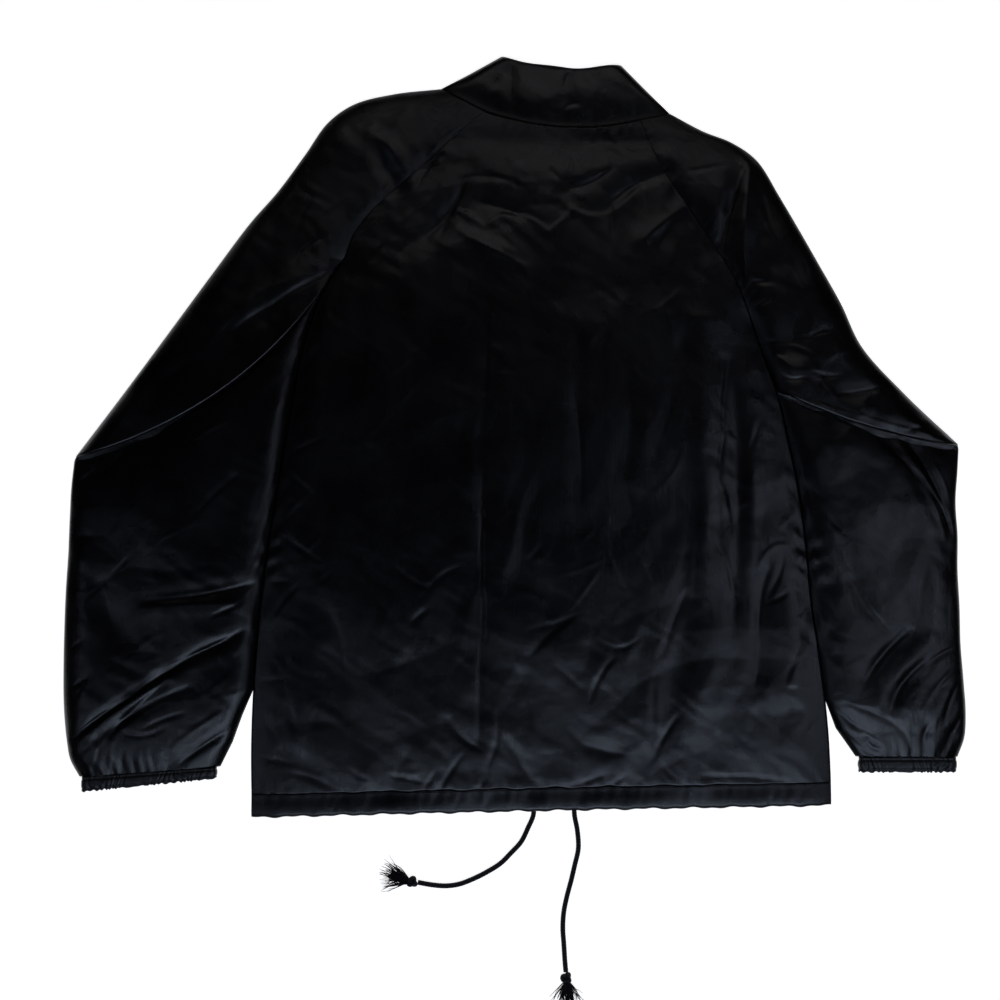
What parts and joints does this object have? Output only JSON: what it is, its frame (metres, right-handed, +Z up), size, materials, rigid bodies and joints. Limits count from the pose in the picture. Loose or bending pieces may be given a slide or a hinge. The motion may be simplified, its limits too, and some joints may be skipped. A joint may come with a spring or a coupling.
{
  "type": "coach jacket",
  "caption": "Coach jacket in black nylon laid flat with its back up: raglan sleeves bent at the elbow, gathered cuffs, turned-up collar and a hem drawcord.",
  "frame": {"origin": "on the surface that the jacket lies on, under the middle of the garment's box without its cord ends", "axes": "+X to the wearer's right sleeve, +Y to the collar, +Z up from the fronts to the back panel"},
  "size_m": [0.9048, 0.9549, 0.0153],
  "materials": {
    "nylon": "black nylon taffeta with a soft satin sheen",
    "cuff": "black nylon gathered over elastic",
    "cord": "matt black braided cord",
    "snap": "black enamel"
  },
  "bodies": {
    "root": {"back": "nylon", "front_left": "nylon", "front_right": "nylon", "sleeve_left": "nylon", "sleeve_right": "nylon", "cuff_left": "cuff", "cuff_right": "cuff", "collar": "nylon", "hem_casing_back": "nylon", "hem_casing_front_left": "nylon", "hem_casing_front_right": "nylon", "snap_1": "snap", "snap_2": "snap", "snap_3": "snap", "snap_4": "snap", "snap_5": "snap", "drawcord_left": "cord", "drawcord_right": "cord", "drawcord_end_left": "cord", "drawcord_end_right": "cord"}
  },
  "joints": []
}
